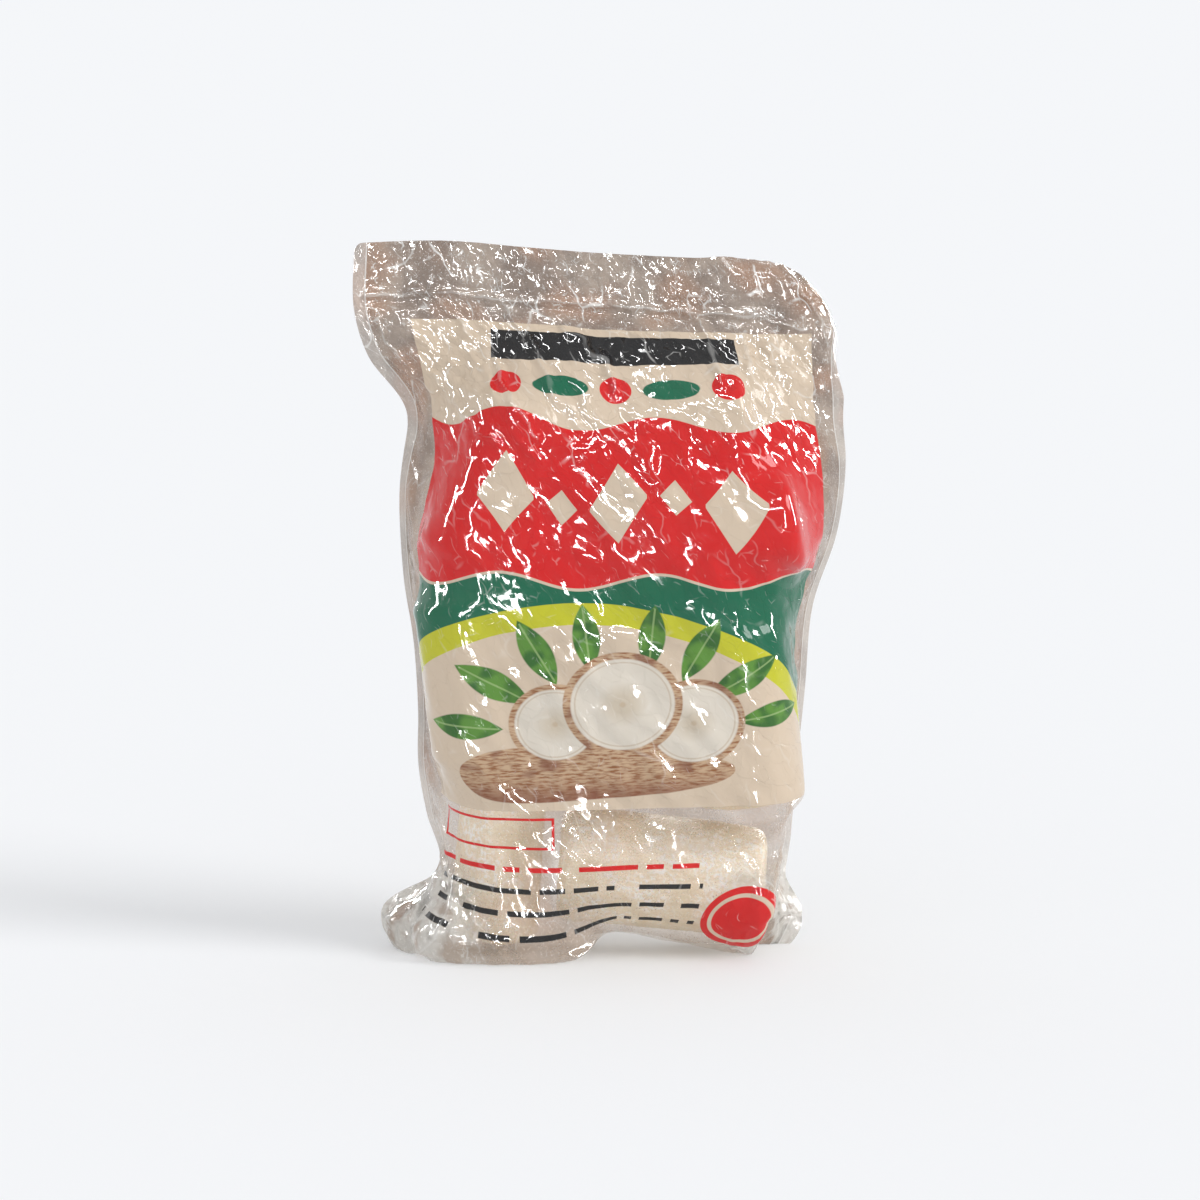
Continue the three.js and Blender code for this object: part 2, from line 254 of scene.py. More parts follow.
def rounded_cylinder(node_name):
    """How far points are outside one piece of root, and which way out of it they lie."""
    corners = np.array([v.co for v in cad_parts[node_name].data.vertices]) - CENTRING
    corners = np.unique(corners.round(5), axis=0)
    centre = (corners.min(0) + corners.max(0)) / 2
    axis = np.linalg.svd(corners - corners.mean(0))[2][0]
    along = (corners - centre) @ axis
    centre = centre + axis * (along.max() + along.min()) / 2
    half = (along.max() - along.min()) / 2
    radius = np.linalg.norm((corners - centre) - np.outer((corners - centre) @ axis, axis), axis=1).max()

    def outside(points):
        offset = points - centre
        reach = offset @ axis
        radial = offset - reach[..., None] * axis
        distance = np.linalg.norm(radial, axis=-1) + 1e-9
        past_side = distance - (radius - CUT_ROUNDING)
        past_end = np.abs(reach) - (half - CUT_ROUNDING)
        within = np.minimum(np.maximum(past_side, past_end), 0)
        side = np.where(within < 0, past_side > past_end, np.maximum(past_side, 0))
        end = np.where(within < 0, past_end >= past_side, np.maximum(past_end, 0))
        beyond = np.where(within < 0, 0, np.hypot(side, end))
        out = radial * (side / distance)[..., None] + axis * (end * np.sign(reach))[..., None]
        return beyond + within - CUT_ROUNDING, unit(out)

    return outside


def air_pocket(centre, half_sizes):
    def outside(points):
        scaled = (points - np.array(centre)) / half_sizes
        reach = np.linalg.norm(scaled, axis=-1) + 1e-9
        slope = scaled / half_sizes
        return reach * (reach - 1) / (np.linalg.norm(slope, axis=-1) + 1e-9), unit(slope)

    return outside


PIECE_SUPPORTS = [rounded_cylinder(name) for name in ROOT_NODES]
SUPPORTS = PIECE_SUPPORTS + [air_pocket(*pocket) for pocket in AIR_POCKETS]


def push_clear(points, clearance):
    push = np.zeros_like(points)
    for support in SUPPORTS:
        away, out = support(points)
        push += out * np.maximum(clearance - away, 0)[..., None]
    return push


def held_back(points, face):
    """Keeps one web on its own side of the bag and off the floor."""
    points[..., 2] = np.maximum(points[..., 2], FLOOR_GAP)
    full = fullness(points[..., 2])
    parting = EDGE_SET_BACK * full - WELD_FOLD_DEPTH * np.sin(WELD_FOLD * full) + face * WEB_GAP
    keep = np.minimum if face < 0 else np.maximum
    points[..., 1] = keep(points[..., 1], parting)
    return points


def net_start(face, bag):
    """The coarse net of one web before it settles, and which of its points are held."""
    shares = np.linspace(1, 0, ROWS + 1)
    column = np.arange(COLUMNS + 1)
    inner, welds = [], []
    for points, side in ((LEFT_EDGE, 1), (RIGHT_EDGE, -1)):
        edge, direction, edge_length = smooth_curve(points, shares)
        if side > 0:
            down = shares * edge_length
            band_row = ROWS - round(bag.top_band / edge_length * ROWS)
        fold = WELD_FOLD * fullness(edge[:, 2])
        flat_in = unit(np.cross(direction, [0, 1, 0])) * side
        inward = flat_in * np.cos(fold)[:, None] - np.outer(np.sin(fold), [0, 1, 0])
        front = unit(np.cross(inward, direction))
        front *= -np.sign(front[:, 1:2])
        edge = edge - face * WELD_GAP * front
        welds.append(edge)
        inner.append(edge + inward * bag.weld_width)
    across = np.clip((column - 1) / (COLUMNS - 2), 0, 1)[None, :, None]
    net = inner[0][:, None] * (1 - across) + inner[1][:, None] * across
    net[:, 0], net[:, -1] = welds
    top = smooth_curve(TOP_EDGE, column / COLUMNS)[0]
    net[band_row:, 1:-1, 2] = top[None, 1:-1, 2] - down[band_row:, None]
    net[band_row:, :, 1] = TOP_WAVE * np.sin(column * TOP_WAVE_TURN) + face * WELD_GAP
    net[0] = smooth_curve(BOTTOM_EDGE, column / COLUMNS)[0] + [0, face * WELD_GAP, 0]
    held = np.zeros((ROWS + 1, COLUMNS + 1), bool)
    held[0] = held[band_row:] = held[:, :2] = held[:, -2:] = True
    row = np.arange(ROWS + 1)
    spread = np.sin(math.pi * across[0, :, 0]).clip(0) ** 0.4
    rise = np.minimum(1, np.minimum(row / 4, (band_row - row) / 5)).clip(0)
    depth = START_IN_FRONT if face < 0 else START_BEHIND
    loose = ~held
    net[..., 1] += loose * face * depth * np.outer(rise, spread)
    net[..., 2] *= 1 - loose * np.outer(np.maximum(0, 1 - row / 6), spread)
    return net, held


def finer(net):
    """The net with a point added between every two, on a smooth line through its neighbours."""
    for axis in (0, 1):
        net = np.moveaxis(net, axis, 0)
        padded = np.concatenate([2 * net[:1] - net[1:2], net, 2 * net[-1:] - net[-2:-1]])
        between = (9 * (padded[1:-2] + padded[2:-1]) - padded[:-3] - padded[3:]) / 16
        double = np.empty((2 * len(net) - 1, *net.shape[1:]))
        double[::2], double[1::2] = net, between
        net = np.moveaxis(double, 0, axis)
    return net


def settled_net(face, bag):
    """One web pulled tight between its welds and over the pieces and pockets of air."""
    net, held = net_start(face, bag)
    for level, steps in enumerate(SETTLE_STEPS):
        if level:
            net = finer(net)
            border = 2**level
            fine_held = np.zeros(net.shape[:2], bool)
            fine_held[0] = fine_held[:, : border + 1] = fine_held[:, -border - 1 :] = True
            fine_held[np.argmax(held[:, COLUMNS // 2 * border // 2][1:]) * 2 + 2 :] = True
            held = fine_held
        high, wide = net.shape[0] - 1, net.shape[1] - 1
        parity = np.add.outer(*(np.arange(n) for n in net.shape[:2])) % 2
        for _ in range(steps):
            for turn in (0, 1):
                free = ~held[1:-1, 1:-1] & (parity[1:-1, 1:-1] == turn)
                mean = (net[:-2, 1:-1] + net[2:, 1:-1] + net[1:-1, :-2] + net[1:-1, 2:])[free] / 4
                points = net[1:-1, 1:-1][free]
                points = points + SETTLE_PULL * (mean - points)
                points[:, 1] += face * SLACK_PUSH / 4**level
                points += push_clear(points, bag.clearance)
                net[1:-1, 1:-1][free] = held_back(points, face)
            middles = (net[:-1, :-1] + net[1:, :-1] + net[:-1, 1:] + net[1:, 1:]) / 4
            push = push_clear(middles, bag.clearance) / 2
            for i in (0, 1):
                for j in (0, 1):
                    corner = slice(i, high + i), slice(j, wide + j)
                    net[corner] += np.where(held[corner][..., None], 0, push)
    return net, held


def press_foot(points):
    """The weight presses the lowest film flat on the floor."""
    lifted = (points[..., 2] - FOOT_LOW).clip(0) / (FOOT_TOP - FOOT_LOW)
    pressed = FOOT_FILM + (FOOT_TOP - FOOT_FILM) * lifted
    points[..., 2] = np.where(points[..., 2] < FOOT_TOP, pressed, points[..., 2])
    return points


def round_corner(points, flat, top):
    """Rounds the top left corner off. flat is the place on the flat web, in metres, up to top."""
    beside, below = flat[:, 0], top - flat[:, 1]
    past = np.stack([beside, below], axis=-1) - CORNER_ROUNDING
    far = np.linalg.norm(past, axis=-1)
    corner = (past < 0).all(axis=-1) & (far > CORNER_ROUNDING)
    pull = np.where(corner, CORNER_ROUNDING / (far + 1e-9) - 1, 0)
    points[:, 0] += past[:, 0] * pull
    points[:, 2] -= past[:, 1] * pull
    return points


def curl_corner(points):
    """Rolls the top right corner back round a quarter circle."""
    past = points[..., [0, 2]] - CURL_CENTRE
    fade = smoothstep(past, -CURL_FADE, 0).prod(axis=-1)
    past = past.clip(0)
    beyond = (np.linalg.norm(past, axis=-1) - CURL_REACH).clip(0) * fade
    outward = unit(past)
    radius = CURL_RADIUS - points[..., 1]
    turn = np.minimum(beyond / CURL_RADIUS, math.pi)
    straight = (beyond - math.pi * CURL_RADIUS).clip(0)
    reach = np.where(beyond > 0, radius * np.sin(turn) - straight - beyond, 0)
    curled = points.copy()
    curled[..., 0] += outward[..., 0] * reach
    curled[..., 2] += outward[..., 1] * reach
    curled[..., 1] = np.where(beyond > 0, CURL_RADIUS - radius * np.cos(turn), points[..., 1])
    return curled


# Mesh helpers

def deselect():
    if bpy.context.object and bpy.context.object.mode != "OBJECT":
        bpy.ops.object.mode_set(mode="OBJECT")
    bpy.ops.object.select_all(action="DESELECT")


def pick(piece):
    deselect()
    piece.select_set(True)
    bpy.context.view_layer.objects.active = piece


def apply_modifier(piece, name, kind, **values):
    pick(piece)
    modifier = piece.modifiers.new(name, kind)
    for key, value in values.items():
        setattr(modifier, key, value)
    bpy.ops.object.modifier_apply(modifier=modifier.name)


def read_points(mesh):
    points = np.empty(3 * len(mesh.vertices))
    mesh.vertices.foreach_get("co", points)
    return points.reshape(-1, 3)


def write_points(mesh, points):
    mesh.vertices.foreach_set("co", np.asarray(points, np.float32).ravel())
    mesh.update()


def read_normals(mesh):
    normals = np.empty(3 * len(mesh.vertices))
    mesh.vertex_normals.foreach_get("vector", normals)
    return normals.reshape(-1, 3)


def read_uv(mesh):
    """The first UV map's place at each vertex."""
    loops = np.empty(len(mesh.loops), int)
    mesh.loops.foreach_get("vertex_index", loops)
    flat = np.empty(2 * len(mesh.loops))
    mesh.uv_layers[0].data.foreach_get("uv", flat)
    places = np.empty((len(mesh.vertices), 2))
    places[loops] = flat.reshape(-1, 2)
    return places


def write_attribute(mesh, name, values):
    kind = "FLOAT" if values.ndim == 1 else "FLOAT_VECTOR"
    attribute = mesh.attributes.new(name, kind, "POINT")
    attribute.data.foreach_set("value" if kind == "FLOAT" else "vector", values.astype(np.float32).ravel())


# Node helpers

class Signal:
    """A number that changes over a surface, put together from Math nodes by plain arithmetic."""

    def __init__(self, tree, socket):
        self.tree = tree
        self.socket = socket

    def math(self, operation, other=None, clamp=False):
        node = self.tree.nodes.new("ShaderNodeMath")
        node.operation = operation
        node.use_clamp = clamp
        self.tree.links.new(self.socket, node.inputs[0])
        if isinstance(other, Signal):
            self.tree.links.new(other.socket, node.inputs[1])
        elif other is not None:
            node.inputs[1].default_value = other
        return Signal(self.tree, node.outputs[0])

    def __add__(self, other):
        return self.math("ADD", other)

    def __sub__(self, other):
        return self.math("SUBTRACT", other)

    def __mul__(self, other):
        return self.math("MULTIPLY", other)

    def __truediv__(self, other):
        return self.math("DIVIDE", other)

    def abs(self):
        return self.math("ABSOLUTE")

    def floor(self):
        return self.math("FLOOR")

    def fraction(self):
        return self.math("FRACT")

    def root(self):
        return self.math("SQRT")

    def sine(self):
        return self.math("SINE")

    def most(self, other):
        return self.math("MAXIMUM", other)

    def clamped(self):
        return self.math("ADD", 0.0, clamp=True)

    def opposite(self):
        return (self * -1.0) + 1.0

    def ramp(self, low, high):
        """0 at low and 1 at high, smooth between."""
        node = self.tree.nodes.new("ShaderNodeMapRange")
        node.interpolation_type = "SMOOTHSTEP"
        self.tree.links.new(self.socket, node.inputs["Value"])
        node.inputs["From Min"].default_value = low
        node.inputs["From Max"].default_value = high
        return Signal(self.tree, node.outputs["Result"])

    def inked(self, edge=0.25):
        """1 where a distance is below zero, with a soft edge this wide."""
        return (self * (-1.0 / edge)).math("ADD", 0.5, clamp=True)


def split(tree, socket):
    node = tree.nodes.new("ShaderNodeSeparateXYZ")
    tree.links.new(socket, node.inputs[0])
    return [Signal(tree, out) for out in node.outputs]


def vector_math(tree, operation, *values):
    """A Vector Math node's outputs. Each value is a socket or a plain vector."""
    node = tree.nodes.new("ShaderNodeVectorMath")
    node.operation = operation
    for socket, value in zip(node.inputs, values):
        if isinstance(value, bpy.types.NodeSocket):
            tree.links.new(value, socket)
        else:
            socket.default_value = value
    return node.outputs


def attribute(tree, name, output="Fac"):
    """A vertex attribute's value, as a socket."""
    node = tree.nodes.new("ShaderNodeAttribute")
    node.attribute_name = name
    return node.outputs[output]


def texture_node(tree, kind, vector, **values):
    """A texture or mapping node's outputs, with its inputs and settings given by name."""
    node = tree.nodes.new(kind)
    for key, value in values.items():
        if key in node.inputs:
            node.inputs[key].default_value = value
        else:
            setattr(node, key, value)
    tree.links.new(vector, node.inputs["Vector"])
    return node.outputs


def noise(tree, vector, scale, detail):
    return Signal(tree, texture_node(tree, "ShaderNodeTexNoise", vector, Scale=scale, Detail=detail)[0])


def painted(tree, below, above, mask):
    """One colour over another by a mask. Colours are sockets or plain colours."""
    node = tree.nodes.new("ShaderNodeMix")
    node.data_type = "RGBA"
    tree.links.new(mask.socket, node.inputs["Factor"])
    for name, colour in (("A", below), ("B", above)):
        socket = next(s for s in node.inputs if s.name == name and s.type == "RGBA")
        if isinstance(colour, bpy.types.NodeSocket):
            tree.links.new(colour, socket)
        else:
            socket.default_value = (*colour[:3], 1)
    return next(s for s in node.outputs if s.type == "RGBA")


def new_group(name, inputs, outputs):
    tree = bpy.data.node_groups.new(name, "ShaderNodeTree")
    for label, kind in inputs.items():
        tree.interface.new_socket(label, in_out="INPUT", socket_type=kind)
    for label, kind in outputs.items():
        tree.interface.new_socket(label, in_out="OUTPUT", socket_type=kind)
    return tree, tree.nodes.new("NodeGroupInput").outputs, tree.nodes.new("NodeGroupOutput").inputs


def place_group(tree, group, **inputs):
    node = tree.nodes.new("ShaderNodeGroup")
    node.node_tree = group
    for name, value in inputs.items():
        if isinstance(value, bpy.types.NodeSocket):
            tree.links.new(value, node.inputs[name])
        else:
            node.inputs[name].default_value = value
    return node.outputs


def new_material(name, **plain):
    """A material with a Principled shader whose named sockets are set to plain values."""
    material = bpy.data.materials.new(name)
    material.use_nodes = True
    tree = material.node_tree
    tree.nodes.clear()
    shader = tree.nodes.new("ShaderNodeBsdfPrincipled")
    output = tree.nodes.new("ShaderNodeOutputMaterial")
    tree.links.new(shader.outputs[0], output.inputs["Surface"])
    for key, value in plain.items():
        shader.inputs[key.replace("_", " ")].default_value = value
    return material, tree, shader


def feed(tree, shader, **inputs):
    for name, value in inputs.items():
        socket = value.socket if isinstance(value, Signal) else value
        tree.links.new(socket, shader.inputs[name.replace("_", " ")])


def feed_bump(tree, shader, height, depth):
    """Turns a height into the shader's normal. A height of 1 stands for this depth."""
    node = tree.nodes.new("ShaderNodeBump")
    node.inputs["Strength"].default_value = 1.0
    node.inputs["Distance"].default_value = depth
    tree.links.new(height.socket, node.inputs["Height"])
    tree.links.new(node.outputs[0], shader.inputs["Normal"])


# Shared effects

def crinkle_group():
    """Creased facets of handled film, in flat millimetres: bump height, crease lines and loose flecks. The
    crease lines are drawn white: partly the film's own whitening, partly a painted highlight.
    """
    tree, given, made = new_group(
        "film crinkle",
        {"Vector": "NodeSocketVector"},
        {"Height": "NodeSocketFloat", "Crease": "NodeSocketFloat", "Flecks": "NodeSocketFloat"},
    )
    warp = texture_node(tree, "ShaderNodeTexNoise", given["Vector"], Scale=0.11, Detail=1.0)["Color"]
    shifted = vector_math(tree, "MULTIPLY_ADD", warp, (7.0, 7.0, 0.0), given["Vector"])[0]
    turned = texture_node(
        tree, "ShaderNodeMapping", shifted, vector_type="TEXTURE", Rotation=(0, 0, CREASE_ANGLE),
        Scale=(2.4, 1.0, 1.0),
    )[0]

    def cells(scale, feature="F1"):
        return texture_node(
            tree, "ShaderNodeTexVoronoi", turned, voronoi_dimensions="2D", feature=feature, Scale=scale,
        )

    x, y, _ = split(tree, turned)
    tilts = []
    for scale, depth in ((0.13, 0.34), (0.31, 0.42)):
        cell = cells(scale)
        lean_x, lean_y, _ = split(tree, cell["Color"])
        at_x, at_y, _ = split(tree, cell["Position"])
        tilts.append(((x - at_x) * (lean_x - 0.5) + (y - at_y) * (lean_y - 0.5)) * depth)
    edge, fine_edge = (
        Signal(tree, cells(scale, "DISTANCE_TO_EDGE")["Distance"]) for scale in (0.085, 0.24)
    )
    patches = noise(tree, given["Vector"], 0.06, 2.0)
    fine_patches = noise(tree, given["Vector"], 0.17, 1.0)
    # These crease lines are painted white in the film: partly crease whitening, partly a painted highlight
    creases = edge.ramp(0.045, 0.0) * patches.ramp(0.5, 0.62)
    creases = creases.most(fine_edge.ramp(0.06, 0.0) * fine_patches.ramp(0.55, 0.66))
    curls = noise(tree, given["Vector"], 0.42, 1.0)
    curls = (curls - 0.5).abs().ramp(0.018, 0.004) * fine_patches.ramp(0.52, 0.62)
    specks = noise(tree, given["Vector"], 1.15, 1.0)
    flecks = curls.most(specks.ramp(0.64, 0.71) * patches.ramp(0.42, 0.6))
    tree.links.new((tilts[0] + tilts[1]).socket, made["Height"])
    tree.links.new(creases.clamped().socket, made["Crease"])
    tree.links.new(flecks.clamped().socket, made["Flecks"])
    return tree


def bark_group(label):
    """Fibrous brown root skin for the printed picture."""
    tree, given, made = new_group(
        "printed bark", {"Vector": "NodeSocketVector"}, {"Color": "NodeSocketColor"}
    )
    stretched = texture_node(tree, "ShaderNodeMapping", given["Vector"], Scale=(0.22, 1.0, 1.0))[0]
    streaks = noise(tree, stretched, 1.1, 4.0)
    broad = noise(tree, given["Vector"], 0.09, 1.0)
    skin = painted(tree, label.bark_dark, label.bark_light, streaks.ramp(0.3, 0.62))
    skin = painted(tree, skin, label.bark_shade, broad.ramp(0.56, 0.72) * 0.7)
    tree.links.new(skin, made["Color"])
    return tree


# The printed motifs, in flat millimetres from the panel's lower middle
WAVE_LENGTH = 58
WAVE_HEIGHT = 3.5
LOZENGE_PITCH = 21
# Leaves of the right spray: middle, angle in degrees and half length. The left one is its mirror image
LEAVES = ((30, 66, 62, 15), (46, 53, 30, 15.5), (57, 36, 6, 14), (12, 72, 84, 14))
# Slices of root: middle and radius
SLICES = ((-24, 36, 17), (27, 35, 18.5), (1, 44, 22))
DASH_PITCH = 3.4
DASH_ROW_HEIGHT = 8.4
DASH_ROWS_FROM = -20


def label_group(label):
    """The print on the front web, in flat millimetres from the panel's lower middle."""
    tree, given, made = new_group(
        "printed label",
        {"Vector": "NodeSocketVector"},
        {"Color": "NodeSocketColor", "Ink": "NodeSocketFloat"},
    )
    x, y, _ = split(tree, given["Vector"])
    half = label.panel_width / MM / 2
    tall = label.panel_height / MM

    def box(at_x, at_y, wide, high):
        return ((x - at_x).abs() - wide / 2).most((y - at_y).abs() - high / 2)

    def disc(at_x, at_y, radius, squeeze=1.0):
        size, shift = (squeeze, 1, 0), (-at_x * squeeze, -at_y, 0)
        place = vector_math(tree, "MULTIPLY_ADD", given["Vector"], size, shift)[0]
        return Signal(tree, vector_math(tree, "LENGTH", place)["Value"]) - radius

    panel = box(0, tall / 2, 2 * half, tall)
    colour = label.cream
    # A red field with waved borders, over a green field with a lime arch
    wave = (x * (2 * math.pi / WAVE_LENGTH)).sine() * WAVE_HEIGHT
    arch = disc(-14, -26, 108)
    colour = painted(tree, colour, label.green, box(0, 60, 2 * half, 104).inked() * arch.inked().opposite())
    colour = painted(tree, colour, label.lime, (arch.abs() - 4.5).inked() * (y - 104).inked())
    red_low, red_high = y - 96 - wave, y - 163 - wave
    red = (red_low * -1.0).most(red_high)
    colour = painted(tree, colour, label.cream, (red.abs() - 1.2).inked())
    colour = painted(tree, colour, label.red, red.inked())
    # Plain lozenges and discs along the red field
    pitch = LOZENGE_PITCH
    column = (x / pitch + 0.5).fraction() * pitch - pitch / 2
    number = (x / pitch + 0.5).floor()
    row = y - 129 - wave
    lozenge = column.abs() * 1.55 + row.abs() - 17
    small = column.abs() * 1.3 + row.abs() - 7.5
    odd = (number / 2.0).fraction().ramp(0.2, 0.3)
    inside = (x.abs() - pitch * 2.5).inked()
    shapes = lozenge.inked() * odd.opposite() + small.inked() * odd
    colour = painted(tree, colour, label.cream, shapes * inside)
    # A black strip, and a row of small rounds and ovals under it
    colour = painted(tree, colour, label.black, box(0, tall - 11, 102, 14.5).inked())
    for at_x in (-44, 0, 44):
        colour = painted(tree, colour, label.red, disc(at_x, tall - 31, 6.4).inked())
    for at_x in (-22, 22):
        colour = painted(tree, colour, label.green, disc(at_x, tall - 31, 5.0, 0.45).inked())
    # Two sprays of leaves, one lying root and three slices
    mirror = x.abs()
    leaf_light = noise(tree, given["Vector"], 0.12, 1.0)
    leaf = painted(tree, label.leaf_dark, label.leaf_light, leaf_light.ramp(0.4, 0.6))
    for at_x, at_y, angle, size in LEAVES:
        cos, sin = math.cos(math.radians(angle)), math.sin(math.radians(angle))
        along = (mirror - at_x) * cos + (y - at_y) * sin
        across = (y - at_y) * cos - (mirror - at_x) * sin
        reach = along / size
        blade = across.abs() - (reach * reach).opposite() * size * 0.36
        colour = painted(tree, colour, leaf, blade.most(along.abs() - size).inked(0.5))
        rib = (across.abs() - 0.35).most(along.abs() - size * 0.9)
        colour = painted(tree, colour, label.leaf_rib, rib.inked() * 0.6)
    bark = place_group(tree, bark_group(label), Vector=given["Vector"])["Color"]
    reach = (x + 10) / 52
    girth = (reach * reach * reach * reach).opposite().most(0.0).root() * ((reach * -3.0) + 10.5)
    root = (y - 15).abs() - girth
    root_bark = painted(tree, bark, label.bark_shade, (y - 15).ramp(1.0, -11.5) * 0.75)
    colour = painted(tree, colour, root_bark, root.most((x + 10).abs() - 52).inked(0.5))
    for at_x, at_y, radius in SLICES:
        rim = disc(at_x, at_y, radius)
        ray = rim + radius
        colour = painted(tree, colour, bark, rim.inked(0.5))
        flesh = painted(tree, label.flesh, label.flesh_core, (ray.abs() - radius * 0.3).inked(6.0))
        colour = painted(tree, colour, flesh, (rim + radius * 0.13).inked(0.7))
        colour = painted(tree, colour, label.flesh_line, ((rim + radius * 0.2).abs() - 0.3).inked() * 0.5)
        colour = painted(tree, colour, label.flesh_line, (ray - 1.1).inked(0.8) * 0.6)
    # On the clear film below: an empty red frame, rows of plain dashes and a red roundel
    ink = panel.inked()
    frame_line = (box(-52, -9.5, 52, 12).abs() - 0.6).inked()
    dashes_black, dashes_red = dash_rows(tree, x, y)
    badge = disc(49, -46, 13)
    badge_ring = (disc(49, -46, 9.8).abs() - 0.7).inked()
    below = frame_line.most(dashes_red)
    colour = painted(tree, colour, label.red, below.most(badge.inked()))
    colour = painted(tree, colour, label.black, dashes_black)
    colour = painted(tree, colour, label.cream, badge_ring)
    ink = ink.most(below).most(dashes_black).most(badge.inked())
    tree.links.new(colour, made["Color"])
    tree.links.new(ink.socket, made["Ink"])
    return tree


def dash_rows(tree, x, y):
    """Rows of plain dashes on the clear film: black ones, and one red row."""
    height = (y - DASH_ROWS_FROM) / DASH_ROW_HEIGHT
    line = height.floor()
    start = (line * 7.31).fraction() * DASH_PITCH
    cell = ((x + start) / DASH_PITCH).floor()
    place = tree.nodes.new("ShaderNodeCombineXYZ")
    tree.links.new(cell.socket, place.inputs[0])
    tree.links.new(line.socket, place.inputs[1])
    draw = texture_node(tree, "ShaderNodeTexWhiteNoise", place.outputs[0], noise_dimensions="2D")["Value"]
    bar = ((height.fraction() - 0.5).abs() - 0.13).inked(0.04) * Signal(tree, draw).ramp(0.22, 0.24)
    within = ((x + 22).abs() - 56).inked() * ((y + 36.9).abs() - 16.8).inked()
    red_row = ((line + 1.0).abs() - 0.4).inked()
    bar = bar * within
    return bar * red_row.opposite(), bar * red_row


def metres(name, description, default, **limits):
    return FloatProperty(name=name, description=description, default=default, unit="LENGTH", **limits)


def factor(name, description, default):
    return FloatProperty(name=name, description=description, default=default, subtype="FACTOR")


def tint(name, description, default):
    return FloatVectorProperty(name=name, description=description, default=default, size=3, subtype="COLOR")


class RootSettings(bpy.types.PropertyGroup):
    """The peeled pieces."""

    voxel: metres("Mesh grain", "Size of the net that each piece is remade with", 2.2 * MM, min=1 * MM)
    knife_relief: metres("Knife relief", "How deep the peeling strokes are", 0.7 * MM)
    frost_relief: metres("Frost relief", "How high the frost stands", 0.25 * MM)
    flesh: tint("Flesh", "Colour of the peeled flesh", (0.84, 0.72, 0.54))
    flesh_shadow: tint("Damp flesh", "Colour where the flesh is damp", (0.66, 0.54, 0.36))
    frost: tint("Frost", "Colour of the frost", (0.93, 0.94, 0.93))


class FilmSettings(bpy.types.PropertyGroup):
    """The two webs of film."""

    clearance: metres("Clearance", "Room between the film and the pieces", 1.4 * MM)
    weld_width: metres("Weld width", "Width of the side welds", 6.5 * MM)
    top_band: metres("Top band", "Height of the flat top", 26 * MM)
    flat_width: metres("Flat width", "Width of a web laid flat", 0.214)
    flat_length: metres("Flat length", "Length of a web laid flat", 0.332)
    slack: factor("Slack", "Share of spare film that the crumpling takes up", 0.045)
    slack_low: factor("Slack at the foot", "Share of spare film where the bag is tight", 0.012)
    frames: IntProperty(name="Cloth frames", description="Length of the cloth simulation", default=24, min=1)
    crumple: metres("Crumple", "Depth of the fine crumples", 0.7 * MM)
    fold_height: metres("Fold height", "Height of the long creases", 1.1 * MM)
    lets_through: factor("Light let through", "How much more light than sight the film lets through", 0.6)
    ear_light: tint("Ears, light", "Colour of the lower corners at their whitest", (0.64, 0.61, 0.56))
    # The dark ear colour is painted shade: dark patches on the lower corners where their folds would lie in
    # shadow
    ear_fold_shade: tint("Ears, dark", "Colour of the lower corners inside a fold", (0.15, 0.135, 0.115))
    touching: tint("Touching", "Colour of frosted film where it lies on a piece", (0.66, 0.50, 0.365))
    haze: tint("Haze", "Colour of the misted film", (0.25, 0.185, 0.142))
    light_haze: tint("Light haze", "Colour of the film where it is misted most", (0.41, 0.335, 0.275))
    warm_haze: tint("Warm haze", "Colour of the film's warmer patches", (0.40, 0.235, 0.15))
    # Crease white is partly the whitening of creased film and partly a painted highlight along creases and
    # folds; it also colours the frost flecks
    white: tint("Crease white", "Colour of creases and frost flecks", (0.86, 0.85, 0.82))
    misted: factor("Misted cover", "How much of the view free film hides", 0.74)
    clear: factor("Clear cover", "How much of the view film hides where it lies on a piece", 0.22)


class LabelSettings(bpy.types.PropertyGroup):
    """The plain print on the front web."""

    panel_width: metres("Panel width", "Width of the printed panel", 0.171)
    panel_height: metres("Panel height", "Height of the printed panel", 0.2105)
    panel_from_foot: metres("Panel from foot", "Film between the foot weld and the panel", 0.088)
    panel_offset: metres("Panel offset", "How far right of the web's middle the panel is", 0.003)


LABEL_COLOURS = {
    "cream": ("Cream", (0.64, 0.52, 0.395)),
    "red": ("Red", (0.64, 0.006, 0.007)),
    "green": ("Green", (0.0, 0.125, 0.060)),
    "lime": ("Lime", (0.52, 0.52, 0.02)),
    "black": ("Black", (0.012, 0.012, 0.013)),
    "leaf_dark": ("Leaf shade", (0.03, 0.13, 0.02)),
    "leaf_light": ("Leaf", (0.10, 0.26, 0.035)),
    "leaf_rib": ("Leaf rib", (0.35, 0.50, 0.20)),
    "bark_dark": ("Bark fibre", (0.27, 0.105, 0.04)),
    "bark_light": ("Bark", (0.55, 0.38, 0.24)),
    "bark_shade": ("Bark shade", (0.20, 0.06, 0.03)),
    "flesh": ("Printed flesh", (0.70, 0.64, 0.55)),
    "flesh_core": ("Printed core", (0.60, 0.52, 0.41)),
    "flesh_line": ("Printed rings", (0.50, 0.38, 0.26)),
}
for key, (ink_name, default_colour) in LABEL_COLOURS.items():
    LabelSettings.__annotations__[key] = tint(ink_name, f"{ink_name} ink", default_colour)


